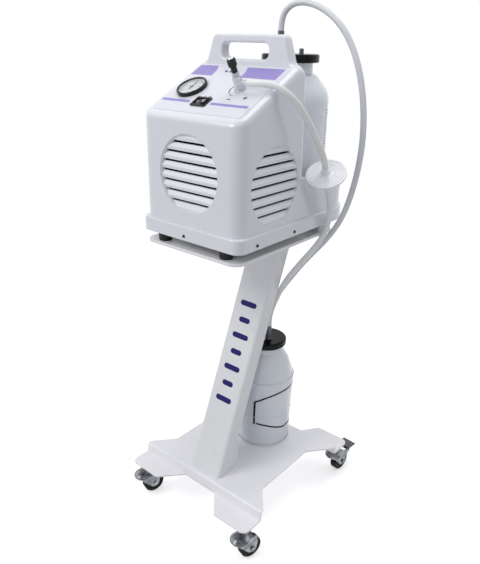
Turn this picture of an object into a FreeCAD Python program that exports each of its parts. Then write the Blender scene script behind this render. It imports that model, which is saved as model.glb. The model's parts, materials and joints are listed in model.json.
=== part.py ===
import FreeCAD, Part
import math
import os
from FreeCAD import Placement, Rotation, Vector

# Suction pump on a wheeled stand. Millimetres, +Z up, the front faces -Y.
# Working frame: X = 0 on the stand's centre plane, Y = 0 at the front of the column's foot,
# Z = 0 at 85 mm below the top of the base plate, which puts the floor at Z = FLOOR.
# ORIGIN moves that frame so that the part's own origin is at the bottom centre of its bounding box.
FLOOR = -28
ORIGIN = Vector(0, -157.5, -FLOOR)

# Base plate: one bent sheet with four legs, stepped down at both ends
BASE_TOP = 85
LEG_TOP = 63
BASE_SHEET = 3
BASE_HALF = 175
WAIST_HALF = 133
BASE_FRONT = -65
FRONT_STEP = -14
REAR_STEP = 278
BASE_REAR = 342

# Column: folded sheet, open at the back, leaning back
COLUMN_HALF = 42
COLUMN_LEAN = 0.395
COLUMN_DEPTH = 37
COLUMN_FOOT_DEPTH = 69
COLUMN_WALL = 3

# Tray
TRAY_BOTTOM = 623
TRAY_TOP = 629
TRAY_HALF = 121
TRAY_FRONT = -41
TRAY_REAR = 283

# Casters, drawn with Z = 0 on the floor
CASTER_X = 152
CASTER_YS = {"front": -52, "rear": 319}
CASTER_TURNS = {"front": 75, "rear": 85}
LEG_UNDERSIDE = LEG_TOP - BASE_SHEET - FLOOR
WHEEL_RADIUS = 25
WHEEL_WIDTH = 18
CASTER_TRAIL = 25
RACE_BOTTOM = 55.8
FORK_TOP = 55.5
FORK_SHEET = 2.5
PEDAL_REACH = 46
PEDAL_HEIGHT = 51
AXLE_RADIUS = 3
KINGPIN_RADIUS = 4
RUNNING_GAP = 0.05

# Casing
PAN_BOTTOM = 647
PAN_SHEET = 3
LEDGE = 675
BODY_HALF = 122
FLANGE_OUT = 5
BODY_FRONT = -38
BODY_REAR = 342
TALL_REAR = 150
CUP_RIM = 755
BAY_FLOOR = 680
FRONT_CORNER = 15
TALL_CORNER = 26
TOP_CORNER = 12
REAR_CORNER = 72
CASING_WALL = 3.5
PANEL_ANGLE = 28.2
PANEL_FRONT_Y = -34
PANEL_FRONT_Z = 872
PANEL_BACK_Y = 117
HANDLE_TOP = 1008
HANDLE_TOP_HALF = 85
GRIP_LEFT = -62
GRIP_RIGHT = 50
GRIP_BOTTOM = 965
GRIP_TOP = 993
HANDLE_ROUND = 4.5

# Louvred inserts
LOUVRE_RADIUS = 72
LOUVRE_FRONT_Z = 771
LOUVRE_SIDE_Y = 62.5
LOUVRE_SIDE_Z = 755
SLAT_COUNT = 8

# Controls, placed on the sloped panel by (across, up the slope)
GAUGE_AT = (-63, 85)
GAUGE_RADIUS = 30
SWITCH_AT = (-8, 46)
REGULATOR_AT = (47, 94)
REGULATOR_BARB_UP = 15

# Motor shaft, along X
MOTOR_AXIS_Y = 62
MOTOR_AXIS_Z = 722

# Jars
UPPER_JAR_AT = (8, 249)
LOWER_JAR_AT = (6, 208)
LOWER_CAP = 340
SPOUT_TOP = 390
SPOUT_SPACING = 26

# Disc filter, hanging in the hose
FILTER_AT = Vector(158, 173, 765)
FILTER_NORMAL = Vector(0.151, -0.513, 0.855)
FILTER_RADIUS = 39

HOSE_RADIUS = 6


# ---------- helpers ----------

def save(node, *solids):
    shape = solids[0].copy() if len(solids) == 1 else Part.makeCompound(list(solids))
    shape.translate(ORIGIN)
    if not shape.isValid():
        print("NOT VALID", node)
    shape.exportStep("parts/%s.step" % node)


def box(x0, x1, y0, y1, z0, z1):
    return Part.makeBox(x1 - x0, y1 - y0, z1 - z0, Vector(x0, y0, z0))


def cylinder(radius, start, end):
    axis = Vector(*end) - Vector(*start)
    return Part.makeCylinder(radius, axis.Length, Vector(*start), axis)


def rounded_face(corners, place):
    """Face whose corners are (u, v, radius); place turns (u, v) into a point."""
    flat = [Vector(u, v, 0) for u, v, _ in corners]
    starts, mids, ends = [], [], []
    for i, (_, _, radius) in enumerate(corners):
        here = flat[i]
        back = (flat[i - 1] - here).normalize()
        on = (flat[(i + 1) % len(flat)] - here).normalize()
        half = back.getAngle(on) / 2
        reach = radius / math.tan(half) if radius else 0
        inward = (back + on).normalize() if radius else Vector()
        starts.append(here + back * reach)
        ends.append(here + on * reach)
        mids.append(here + inward * (radius / math.sin(half) - radius) if radius else here)
    edges = []
    for i, (_, _, radius) in enumerate(corners):
        start, mid, end = (place(p.x, p.y) for p in (starts[i], mids[i], ends[i]))
        if radius:
            edges.append(Part.Arc(start, mid, end).toShape())
        after = starts[(i + 1) % len(corners)]
        if (after - ends[i]).Length > 1e-6:
            edges.append(Part.LineSegment(end, place(after.x, after.y)).toShape())
    return Part.Face(Part.Wire(edges))


def plan_prism(corners, z0, z1):
    face = rounded_face(corners, lambda u, v: Vector(u, v, z0))
    return face.extrude(Vector(0, 0, z1 - z0))


def side_prism(corners, x0, x1):
    face = rounded_face(corners, lambda u, v: Vector(x0, u, v))
    return face.extrude(Vector(x1 - x0, 0, 0))


def front_prism(corners, y0, y1):
    face = rounded_face(corners, lambda u, v: Vector(u, y0, v))
    return face.extrude(Vector(0, y1 - y0, 0))


def turned(profile, x=0, y=0):
    """Solid of revolution about the vertical line through (x, y); profile is (radius, z, corner radius)."""
    face = rounded_face(profile, lambda u, v: Vector(x + u, y, v))
    return face.revolve(Vector(x, y, 0), Vector(0, 0, 1), 360)


def hexagon(across_flats, height, base, axis=Vector(0, 0, 1)):
    points = []
    for i in range(7):
        angle = math.radians(60 * i + 30)
        reach = across_flats / math.sqrt(3)
        points.append(Vector(reach * math.cos(angle), reach * math.sin(angle), 0))
    solid = Part.Face(Part.makePolygon(points)).extrude(Vector(0, 0, height))
    solid.Placement = Placement(Vector(*base), Rotation(Vector(0, 0, 1), axis))
    return solid


def mirror_x(shape):
    return shape.mirror(Vector(0, 0, 0), Vector(1, 0, 0))


def aligned(shape, base, axis):
    """Turn a shape drawn along +Z so that it stands at base along axis."""
    out = shape.copy()
    out.Placement = Placement(Vector(*base), Rotation(Vector(0, 0, 1), axis)).multiply(out.Placement)
    return out


# ---------- stand ----------

def base_plate():
    profile = [(BASE_FRONT, LEG_TOP - BASE_SHEET, 0), (FRONT_STEP + 1, LEG_TOP - BASE_SHEET, 4),
               (FRONT_STEP + 5, BASE_TOP - BASE_SHEET, 2), (REAR_STEP - 3, BASE_TOP - BASE_SHEET, 2),
               (REAR_STEP + 1, LEG_TOP - BASE_SHEET, 4), (BASE_REAR, LEG_TOP - BASE_SHEET, 0),
               (BASE_REAR, LEG_TOP, 0), (REAR_STEP + 4, LEG_TOP, 2),
               (REAR_STEP, BASE_TOP, 5), (FRONT_STEP + 2, BASE_TOP, 5),
               (FRONT_STEP - 2, LEG_TOP, 2), (BASE_FRONT, LEG_TOP, 0)]
    sheet = side_prism(profile, -BASE_HALF, BASE_HALF)
    right = [(BASE_HALF - 86, BASE_FRONT, 3), (BASE_HALF, BASE_FRONT, 16), (BASE_HALF, -4, 4),
             (WAIST_HALF, 45, 14), (WAIST_HALF, 215, 14), (BASE_HALF, 266, 4),
             (BASE_HALF, BASE_REAR, 16), (BASE_HALF - 86, BASE_REAR, 3), (46, REAR_STEP + 3, 2)]
    left = [(-x, y, r) for x, y, r in reversed(right)]
    outline = right + left + [(-46, FRONT_STEP - 1, 2), (46, FRONT_STEP - 1, 2)]
    plate = sheet.common(plan_prism(outline, 0, BASE_TOP + 10))
    holes = [cylinder(3.2, (x, y, 0), (x, y, 100)) for x, y in column_foot_bolts()]
    return plate.cut(Part.makeCompound(holes))


def column_foot_bolts():
    return [(x, y) for x in (-24, 24) for y in (20, 50)]


def column_head_bolts():
    return [(x, y) for x in (-24, 24) for y in (224, 240)]


def column_front(z):
    return COLUMN_LEAN * (z - BASE_TOP)


def column():
    foot_top = BASE_TOP + (COLUMN_FOOT_DEPTH - COLUMN_DEPTH) / COLUMN_LEAN
    head = column_front(TRAY_BOTTOM)
    profile = [(0, BASE_TOP, 0), (COLUMN_FOOT_DEPTH, BASE_TOP, 0), (COLUMN_FOOT_DEPTH, foot_top, 12),
               (head + COLUMN_DEPTH, TRAY_BOTTOM, 0), (head, TRAY_BOTTOM, 0)]
    outer = side_prism(profile, -COLUMN_HALF, COLUMN_HALF)
    outer = outer.makeFillet(7, front_fold_edges(outer))
    inner_half = COLUMN_HALF - COLUMN_WALL
    above = TRAY_BOTTOM + 50
    below = BASE_TOP - 50
    hollow = [(column_front(below) + COLUMN_WALL, below, 0), (COLUMN_FOOT_DEPTH + 200, below, 0),
              (column_front(above) + 300, above, 0), (column_front(above) + COLUMN_WALL, above, 0)]
    shell = outer.cut(side_prism(hollow, -inner_half, inner_half))
    foot = box(-inner_half, inner_half, COLUMN_WALL, COLUMN_FOOT_DEPTH - 3, BASE_TOP, BASE_TOP + 3)
    cap = box(-inner_half, inner_half, head + 2, head + COLUMN_DEPTH - 1, TRAY_BOTTOM - 3, TRAY_BOTTOM)
    body = shell.fuse([foot, cap])
    holes = [cylinder(3.2, (x, y, 80), (x, y, 95)) for x, y in column_foot_bolts()]
    holes += [cylinder(3.2, (x, y, 615), (x, y, 635)) for x, y in column_head_bolts()]
    return body.cut(Part.makeCompound(holes)).removeSplitter()


def front_fold_edges(solid):
    folds = []
    for edge in solid.Edges:
        ends = [v.Point for v in edge.Vertexes]
        on_front = all(abs(p.y - column_front(p.z)) < 0.01 for p in ends)
        if on_front and len(ends) == 2 and abs(ends[0].z - ends[1].z) > 100:
            folds.append(edge)
    return folds


def bolts(places, head_z, nut_z, head_up):
    solids = []
    for x, y in places:
        shank = cylinder(3, (x, y, min(head_z, nut_z)), (x, y, max(head_z, nut_z)))
        head = cylinder(5.5, (x, y, head_z), (x, y, head_z + (3.5 if head_up else -3.5)))
        nut = hexagon(10, 5, (x, y, nut_z - (5 if head_up else 0)))
        solids.append(shank.fuse([head, nut]).removeSplitter())
    return solids


def tray():
    corner = 22
    outline = [(-TRAY_HALF, TRAY_FRONT, corner), (TRAY_HALF, TRAY_FRONT, corner),
               (TRAY_HALF, TRAY_REAR, corner), (-TRAY_HALF, TRAY_REAR, corner)]
    plate = plan_prism(outline, TRAY_BOTTOM, TRAY_TOP)
    rims = [e for e in plate.Edges if all(abs(v.Z - TRAY_TOP) < 0.01 for v in e.Vertexes)]
    plate = plate.makeFillet(2.5, rims)
    holes = [cylinder(3.2, (x, y, 620), (x, y, 640)) for x, y in column_head_bolts()]
    return plate.cut(Part.makeCompound(holes))


# ---------- casters ----------

def caster_places():
    places = {}
    for end, y in CASTER_YS.items():
        places[end + "_left"] = (-CASTER_X, y)
        places[end + "_right"] = (CASTER_X, y)
    return places


def caster_mount():
    """Fixed race cup, nut and threaded stem in the leg, drawn about the swivel axis."""
    race = turned([(0, RACE_BOTTOM, 0), (20, RACE_BOTTOM, 0), (20, RACE_BOTTOM + 2, 1), (13, RACE_BOTTOM + 6, 6),
                   (8, RACE_BOTTOM + 7.2, 1), (0, RACE_BOTTOM + 7.2, 0)])
    nut = hexagon(13, 7, (0, 0, RACE_BOTTOM + 7))
    stem = cylinder(KINGPIN_RADIUS, (0, 0, 48), (0, 0, LEG_UNDERSIDE))
    head = cylinder(7, (0, 0, 48), (0, 0, FORK_TOP - 4.1))
    return race.fuse([nut, stem, head]).removeSplitter()


def caster_fork(braked):
    """Swivel head and two cheeks; the wheel trails along local +X."""
    bore = KINGPIN_RADIUS + RUNNING_GAP
    underside = FORK_TOP - 4
    head = turned([(bore, underside, 0), (21.5, underside, 1.5), (21.5, FORK_TOP, 1), (bore, FORK_TOP, 0)])
    half = WHEEL_WIDTH / 2 + 1.5
    bridge = box(8, 30, -half - FORK_SHEET, half + FORK_SHEET, underside, FORK_TOP - 1.5)
    outline = [(-6, FORK_TOP - 0.5, 3), (-8, FORK_TOP - 11, 4), (CASTER_TRAIL - 8, WHEEL_RADIUS - 8, 8),
               (CASTER_TRAIL + 8, WHEEL_RADIUS - 8, 8), (CASTER_TRAIL + 13, 36, 4)]
    if braked:
        outline += [(51, 45, 3), (51, FORK_TOP - 0.5, 3)]
    else:
        outline += [(CASTER_TRAIL + 11, FORK_TOP - 0.5, 5)]
    cheek = front_prism(outline, half, half + FORK_SHEET)
    other = front_prism(outline, -half - FORK_SHEET, -half)
    hub = (CASTER_TRAIL, WHEEL_RADIUS)
    clear_wheel = cylinder(WHEEL_RADIUS + 1, (hub[0], -half, hub[1]), (hub[0], half, hub[1]))
    fork = head.fuse([bridge, cheek, other]).cut(clear_wheel)
    reach = half + 6
    holes = [cylinder(AXLE_RADIUS, (hub[0], -reach, hub[1]), (hub[0], reach, hub[1])),
             cylinder(bore, (0, 0, 40), (0, 0, 70))]
    if braked:
        pivot = (PEDAL_REACH, PEDAL_HEIGHT)
        holes.append(cylinder(2 + RUNNING_GAP, (pivot[0], -reach, pivot[1]), (pivot[0], reach, pivot[1])))
    return fork.cut(Part.makeCompound(holes)).removeSplitter()


def caster_axle():
    half = WHEEL_WIDTH / 2 + 4
    start = (CASTER_TRAIL, -half - 3, WHEEL_RADIUS)
    shaft = cylinder(AXLE_RADIUS, start, (CASTER_TRAIL, half + 5, WHEEL_RADIUS))
    along = Vector(0, 1, 0)
    nut = hexagon(10, 4, (CASTER_TRAIL, half, WHEEL_RADIUS), along)
    head = hexagon(10, 3, start, along)
    return shaft.fuse([nut, head]).removeSplitter()


def caster_wheel():
    half = WHEEL_WIDTH / 2
    bore = AXLE_RADIUS + RUNNING_GAP
    profile = [(bore, -half - 1, 0), (7, -half - 1, 0), (7, -half + 2, 1), (15, -half + 2, 1),
               (17, -half, 1), (WHEEL_RADIUS, -half, 3), (WHEEL_RADIUS, half, 3), (17, half, 1),
               (15, half - 2, 1), (7, half - 2, 1), (7, half + 1, 0), (bore, half + 1, 0)]
    return aligned(turned(profile), (CASTER_TRAIL, 0, WHEEL_RADIUS), Vector(0, 1, 0))


def caster_pedal():
    """Brake lever on a cross pin between the cheeks, with a wide flat pad."""
    inside = WHEEL_WIDTH / 2 + 1
    lever = [(43.2, 48.6, 1.5), (49.5, 48.4, 1.5), (58, 57.6, 1), (44, 57.6, 2), (42.6, 53, 1)]
    web = front_prism(lever, -inside, inside)
    pad = front_prism([(40, 57.2, 1), (67, 57.2, 1), (69, 60.2, 1), (40, 60.2, 1)], -17.5, 17.5)
    pin = cylinder(2, (PEDAL_REACH, -inside - 4, PEDAL_HEIGHT), (PEDAL_REACH, inside + 4, PEDAL_HEIGHT))
    return web.fuse([pad, pin]).removeSplitter()


def place_caster(shape, x, y, turn):
    out = shape.copy()
    out.rotate(Vector(0, 0, 0), Vector(0, 0, 1), turn)
    out.translate(Vector(x, y, FLOOR))
    return out


def save_casters():
    for where, (x, y) in caster_places().items():
        end = where.split("_")[0]
        turn = CASTER_TURNS[end]
        braked = end == "rear"
        node = "caster_" + where
        save(node + "_mount", place_caster(caster_mount(), x, y, turn))
        save(node + "_fork", place_caster(caster_fork(braked), x, y, turn))
        save(node + "_axle", place_caster(caster_axle(), x, y, turn))
        save(node + "_wheel", place_caster(caster_wheel(), x, y, turn))
        if braked:
            save(node + "_pedal", place_caster(caster_pedal(), x, y, turn))


# ---------- casing ----------

def body_plan(out, z0, z1, rear=BODY_REAR, rear_corner=REAR_CORNER, front_corner=FRONT_CORNER):
    """Prism of the casing's plan, moved out by a distance."""
    half = BODY_HALF + out
    front = front_corner + out
    back = rear_corner + out
    outline = [(-half, BODY_FRONT - out, front), (half, BODY_FRONT - out, front),
               (half, rear + out, back), (-half, rear + out, back)]
    return plan_prism(outline, z0, z1)


def tall_part(out, z0):
    """Front part of the casing under the sloped panel, moved out by a distance."""
    lift = out / math.cos(math.radians(PANEL_ANGLE))
    slope = math.tan(math.radians(PANEL_ANGLE))
    plateau = PANEL_FRONT_Z + slope * (PANEL_BACK_Y + 4 - PANEL_FRONT_Y) + lift
    profile = [(BODY_FRONT - out, z0, 0), (TALL_REAR + 8 + out, z0, 0),
               (TALL_REAR - 5 + out, plateau, 15 + out), (PANEL_BACK_Y + 4, plateau, 24 + out),
               (BODY_FRONT - out, PANEL_FRONT_Z + lift - slope * (PANEL_FRONT_Y - BODY_FRONT), 0)]
    wedge = side_prism(profile, -BODY_HALF - out, BODY_HALF + out)
    block = wedge.common(body_plan(out, z0, HANDLE_TOP, TALL_REAR + 30, 2 + max(out, 0), TALL_CORNER))
    front = [e for e in block.Edges if is_panel_front(e, out)]
    return block.makeFillet(TOP_CORNER + out, front)


def is_panel_front(edge, out):
    """True for the edge between the casing's front face and the sloped panel."""
    bound = edge.BoundBox
    return bound.ZMin > PANEL_FRONT_Z - 15 and bound.YMax < BODY_FRONT - out + 0.01


def on_panel(shape, across, up, out=0):
    """Place a shape drawn on the XY plane (+Z outward) on the sloped panel."""
    turn = Rotation(Vector(1, 0, 0), PANEL_ANGLE)
    base = Vector(0, PANEL_FRONT_Y, PANEL_FRONT_Z)
    moved = shape.copy()
    shift = Placement(Vector(across, up, out), Rotation())
    moved.Placement = Placement(base, turn).multiply(shift).multiply(moved.Placement)
    return moved


def panel_point(across, up, out=0):
    turn = Rotation(Vector(1, 0, 0), PANEL_ANGLE)
    return Vector(0, PANEL_FRONT_Y, PANEL_FRONT_Z) + turn.multVec(Vector(across, up, out))


def handle():
    base = 935
    side = BODY_HALF - 10
    outline = [(-side, base, 0), (side, base, 0), (side, 953, 3), (99, 961, 10), (HANDLE_TOP_HALF, HANDLE_TOP, 12),
               (-HANDLE_TOP_HALF, HANDLE_TOP, 12), (-99, 961, 10), (-side, 953, 3)]
    block = front_prism(outline, PANEL_BACK_Y - 10, TALL_REAR)
    sides = [(PANEL_BACK_Y, base, 0), (TALL_REAR - 4, base, 0), (TALL_REAR - 7, HANDLE_TOP, 0),
             (PANEL_BACK_Y + 5, HANDLE_TOP, 0)]
    block = block.common(side_prism(sides, -side, side))
    outer = [e for e in block.Edges if is_handle_rim(e)]
    block = block.makeFillet(HANDLE_ROUND, outer)
    grip = [(GRIP_LEFT, GRIP_BOTTOM, 11), (GRIP_RIGHT, GRIP_BOTTOM, 11),
            (GRIP_RIGHT, GRIP_TOP, 11), (GRIP_LEFT, GRIP_TOP, 11)]
    block = block.cut(front_prism(grip, PANEL_BACK_Y - 20, TALL_REAR + 20))
    inner = [e for e in block.Edges if is_grip_rim(e)]
    return block.makeFillet(HANDLE_ROUND, inner)


def is_handle_rim(edge):
    """True for the edges round the handle's front and rear faces, above its base."""
    return edge.BoundBox.YLength < 6 and edge.BoundBox.ZMin > 938


def is_grip_rim(edge):
    """True for the edges of the grip's opening in the front and rear faces."""
    bound = edge.BoundBox
    inside = bound.XMin > GRIP_LEFT - 1 and bound.XMax < GRIP_RIGHT + 1
    return inside and bound.ZMin > GRIP_BOTTOM - 1 and bound.ZMax < GRIP_TOP + 1 and bound.YLength < 6


def louvre_places():
    """Name, centre on the casing's face, outward direction."""
    side = BODY_HALF
    return {"louvre_front": (Vector(0, BODY_FRONT + 1.5, LOUVRE_FRONT_Z), Vector(0, -1, 0)),
            "louvre_right": (Vector(side, LOUVRE_SIDE_Y, LOUVRE_SIDE_Z), Vector(1, 0, 0)),
            "louvre_left": (Vector(-side, LOUVRE_SIDE_Y, LOUVRE_SIDE_Z), Vector(-1, 0, 0))}


def casing():
    flange = body_plan(FLANGE_OUT, PAN_BOTTOM, LEDGE)
    rim = [e for e in flange.Edges if all(abs(v.Z - LEDGE) < 0.01 for v in e.Vertexes)]
    flange = flange.makeFillet(4, rim)
    foot = [e for e in flange.Edges if all(abs(v.Z - PAN_BOTTOM) < 0.01 for v in e.Vertexes)]
    flange = flange.makeFillet(0.9, foot)
    tall = tall_part(0, PAN_BOTTOM)
    cup = body_plan(0, PAN_BOTTOM, CUP_RIM).cut(box(-200, 200, -100, TALL_REAR - 20, 0, 2000))
    outer = flange.fuse([tall, cup, handle()]).removeSplitter()
    wall = -CASING_WALL
    pocket_plan = body_plan(-5, BAY_FLOOR, CUP_RIM + 200)
    pocket = pocket_plan.cut(box(-200, 200, -100, TALL_REAR + 12, 0, 2000))
    inside_tall = tall_part(wall, PAN_BOTTOM - 1)
    inside_low = body_plan(FLANGE_OUT - 4, PAN_BOTTOM - 1, LEDGE - 6)
    shell = outer.cut(Part.makeCompound([inside_low, pocket])).cut(inside_tall)
    openings = []
    for centre, out in louvre_places().values():
        openings.append(aligned(cylinder(LOUVRE_RADIUS, (0, 0, -12), (0, 0, 12)), centre, out))
    openings.append(on_panel(cylinder(25, (0, 0, -12), (0, 0, 12)), *GAUGE_AT))
    openings.append(on_panel(box(-15, 15, -10.5, 10.5, -12, 12), *SWITCH_AT))
    openings.append(on_panel(cylinder(6, (0, 0, -12), (0, 0, 12)), *REGULATOR_AT))
    openings.append(inlet_hole())
    openings += [cylinder(1.7, start, end) for start, end in screw_lines()]
    return shell.cut(Part.makeCompound(openings)).removeSplitter()


def screw_lines():
    """Start and end of each flange screw, from outside to inside."""
    side = BODY_HALF + FLANGE_OUT
    front = BODY_FRONT - FLANGE_OUT
    z = 656
    lines = [((-8, front - 2, z), (-8, front + 12, z))]
    for y in (8, 123, 236):
        lines.append(((side + 2, y, z), (side - 12, y, z)))
        lines.append(((-side - 2, y, z), (-side + 12, y, z)))
    return lines


def casing_screws():
    solids = []
    for start, end in screw_lines():
        start, end = Vector(*start), Vector(*end)
        inward = (end - start).normalize()
        head = Part.makeCylinder(2.9, 1.6, start + inward * 0.4, inward)
        shank = Part.makeCylinder(1.7, 8, start + inward * 1.9, inward)
        slot = Part.makeCylinder(1.2, 1, start + inward * 0.3, inward)
        solids.append(head.fuse(shank).cut(slot).removeSplitter())
    return solids


def louvre(centre, out):
    """Ring with slats leaning outward, drawn on +Z outward with +Y up, flush with the casing's face."""
    radius = LOUVRE_RADIUS - 0.15
    depth = 9
    ring = cylinder(radius, (0, 0, -depth), (0, 0, 0)).cut(cylinder(radius - 2, (0, 0, -20), (0, 0, 5)))
    pitch = 2 * radius / SLAT_COUNT
    slats = []
    for i in range(SLAT_COUNT):
        top = radius - i * pitch
        drop = pitch - 4.6 if i < SLAT_COUNT - 1 else pitch
        outline = [(top, -depth, 0), (top, -4.5, 1), (top - 0.55 * drop, -0.3, 3),
                   (top - drop, -2.5, 0.8), (top - drop, -depth, 0)]
        face = rounded_face(outline, lambda u, v: Vector(-radius, u, v))
        slats.append(face.extrude(Vector(2 * radius, 0, 0)))
    inner = cylinder(radius - 1, (0, 0, -20), (0, 0, 5))
    grille = ring.fuse([s.common(inner) for s in slats])
    turn = Rotation(Vector(out.y, -out.x, 0) * -1, Vector(0, 0, 1), out, "ZYX")
    grille.Placement = Placement(centre, turn)
    return grille.removeSplitter()


def chassis_pan():
    pan = body_plan(FLANGE_OUT - 4.2, PAN_BOTTOM + 0.5, PAN_BOTTOM + 0.5 + PAN_SHEET)
    holes = [cylinder(3, (x, y, 600), (x, y, 700)) for x, y in foot_places()]
    return pan.cut(Part.makeCompound(holes))


def foot_places():
    return [(x, y) for x in (-80, 80) for y in (-22, 262)]


def rubber_feet():
    feet = []
    top = PAN_BOTTOM + 0.5
    for x, y in foot_places():
        foot = turned([(0, TRAY_TOP, 0), (13, TRAY_TOP, 2), (14, top, 0), (0, top, 0)], x, y)
        feet.append(foot.fuse(cylinder(3, (x, y, top), (x, y, top + 7))).removeSplitter())
    return feet


# ---------- controls ----------

def control_panel():
    face = rounded_face([(-107, 13, 6), (107, 13, 6), (107, 168, 6), (-107, 168, 6)],
                        lambda u, v: Vector(u, v, 0))
    sheet = face.extrude(Vector(0, 0, 0.6))
    for place, hole in ((GAUGE_AT, cylinder(25, (0, 0, -5), (0, 0, 5))),
                        (SWITCH_AT, box(-15, 15, -10.5, 10.5, -5, 5)),
                        (REGULATOR_AT, cylinder(6, (0, 0, -5), (0, 0, 5)))):
        moved = hole.copy()
        moved.translate(Vector(place[0], place[1], 0))
        sheet = sheet.cut(moved)
    return on_panel(sheet, 0, 0)


def gauge_case():
    ring = turned([(GAUGE_RADIUS - 4, 5, 0), (GAUGE_RADIUS - 4, 7.5, 1), (GAUGE_RADIUS, 7.5, 2),
                   (GAUGE_RADIUS, 0.6, 0), (24.5, 0.6, 0), (24.5, -24, 2), (0, -24, 0), (0, 2, 0),
                   (GAUGE_RADIUS - 2.5, 2, 0), (GAUGE_RADIUS - 2.5, 5, 0)])
    stem = cylinder(6, (0, 0, -36), (0, 0, -23))
    return on_panel(ring.fuse(stem).cut(cylinder(1.55, (0, 0, -2), (0, 0, 4))), *GAUGE_AT)


def gauge_dial():
    disc = cylinder(GAUGE_RADIUS - 3, (0, 0, 2), (0, 0, 2.8))
    return on_panel(disc.cut(cylinder(2.4, (0, 0, 1), (0, 0, 4))), *GAUGE_AT)


def gauge_pointer():
    """Needle pointing up the slope, with its hub and spindle."""
    hub = cylinder(3, (0, 0, 3.1), (0, 0, 4.4))
    spindle = cylinder(1.5, (0, 0, -1), (0, 0, 3.5))
    outline = [(-1.8, -8, 0.5), (1.8, -8, 0.5), (0.7, 21, 0.3), (-0.7, 21, 0.3)]
    needle = rounded_face(outline, lambda u, v: Vector(u, v, 3.3)).extrude(Vector(0, 0, 0.6))
    return on_panel(hub.fuse([spindle, needle]).removeSplitter(), *GAUGE_AT)


def gauge_window():
    return on_panel(cylinder(GAUGE_RADIUS - 4, (0, 0, 5), (0, 0, 6.2)), *GAUGE_AT)


def switch_frame():
    rim = rounded_face([(-17.5, -13.5, 2), (17.5, -13.5, 2), (17.5, 13.5, 2), (-17.5, 13.5, 2)],
                       lambda u, v: Vector(u, v, 0.6)).extrude(Vector(0, 0, 2.2))
    body = box(-14.8, 14.8, -10.4, 10.4, -22, 1)
    well = box(-13.6, 13.6, -9.2, 9.2, -10, 4)
    pivot = cylinder(1.55, (0, -10.1, -1), (0, 10.1, -1))
    return on_panel(rim.fuse(body).cut(well.fuse(pivot)), *SWITCH_AT)


def switch_rocker():
    outline = [(-12.4, 1.2, 0.6), (-12.2, -3, 1), (0, -4, 2), (12.2, -3, 1), (12.4, 5.2, 0.6), (0, 1.6, 8)]
    half = 8.8
    face = rounded_face(outline, lambda u, v: Vector(u, -half, v))
    block = face.extrude(Vector(0, 2 * half, 0))
    pin = cylinder(1.5, (0, -10, -1), (0, 10, -1))
    return on_panel(block.fuse(pin).removeSplitter(), *SWITCH_AT)


def regulator_body():
    body = turned([(0, 0.6, 0), (11.5, 0.6, 0), (11.5, 3, 1), (9.6, 4, 0.5), (9.2, 12, 0), (8.4, 22, 0),
                   (8.4, 24, 1), (7, 26, 1), (6.5, 34, 1), (0, 34, 0)])
    tail = cylinder(5.7, (0, 0, -22), (0, 0, 1))
    arm = cylinder(5, (0, 0, REGULATOR_BARB_UP), (22, 0, REGULATOR_BARB_UP))
    bore = cylinder(4 + RUNNING_GAP, (0, 0, 24), (0, 0, 50))
    return on_panel(body.fuse([tail, arm]).cut(bore).removeSplitter(), *REGULATOR_AT)


def regulator_knob():
    stem = cylinder(4, (0, 0, 25), (0, 0, 46))
    head = turned([(0, 45, 0), (7, 45, 1), (7.8, 47, 1), (7.8, 57, 1.5), (6, 59, 1), (0, 59, 0)])
    grooves = []
    for i in range(24):
        angle = math.radians(15 * i)
        x, y = 8.1 * math.cos(angle), 8.1 * math.sin(angle)
        grooves.append(cylinder(0.7, (x, y, 44), (x, y, 60)))
    return on_panel(stem.fuse(head).cut(Part.makeCompound(grooves)).removeSplitter(), *REGULATOR_AT)


# ---------- inside the casing ----------

def along_x(radius, x0, x1):
    return cylinder(radius, (x0, MOTOR_AXIS_Y, MOTOR_AXIS_Z), (x1, MOTOR_AXIS_Y, MOTOR_AXIS_Z))


def motor_case():
    can = along_x(44, -62, 28).cut(along_x(38, -56, 22)).cut(along_x(6 + RUNNING_GAP, -70, 40))
    ribs = []
    for i in range(12):
        rib = box(-54, 20, -1.5, 1.5, 42, 47)
        spun = Rotation(Vector(1, 0, 0), 30 * i)
        rib.Placement = Placement(Vector(0, MOTOR_AXIS_Y, MOTOR_AXIS_Z), spun)
        ribs.append(rib)
    saddle = box(-55, 20, MOTOR_AXIS_Y - 34, MOTOR_AXIS_Y + 34, 668, 690).cut(along_x(43, -70, 50))
    return can.fuse(ribs + [saddle]).removeSplitter()


def motor_rotor():
    return along_x(6, -94, 48).fuse(along_x(33, -50, 16)).removeSplitter()


def motor_fan():
    hub = along_x(14, -90, -70)
    blades = []
    middle = Vector(-80, MOTOR_AXIS_Y, MOTOR_AXIS_Z)
    pitched = Placement(Vector(), Rotation(Vector(0, 0, 1), 28))
    for i in range(7):
        blade = box(-8, 8, -1, 1, 12, 42)
        spun = Placement(middle, Rotation(Vector(1, 0, 0), 360 / 7 * i))
        blade.Placement = spun.multiply(pitched)
        blades.append(blade)
    return hub.fuse(blades).cut(along_x(6, -100, -60)).removeSplitter()


def pump_head():
    x, y = 54, MOTOR_AXIS_Y
    crank = along_x(34, 28, 78).cut(along_x(28, 31, 73))
    crank = crank.cut(along_x(6 + RUNNING_GAP, 20, 40))
    barrel = cylinder(24, (x, y, 745), (x, y, 800)).cut(along_x(28, 31, 73))
    fins = [cylinder(29, (x, y, z), (x, y, z + 2)) for z in (771, 778, 785, 792)]
    lid = box(x - 26, x + 26, y - 26, y + 26, 800, 812)
    neck = cylinder(5, (x, y - 15, 810), (x, y - 15, 826))
    return crank.fuse([barrel, lid, neck] + fins).removeSplitter()


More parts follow.
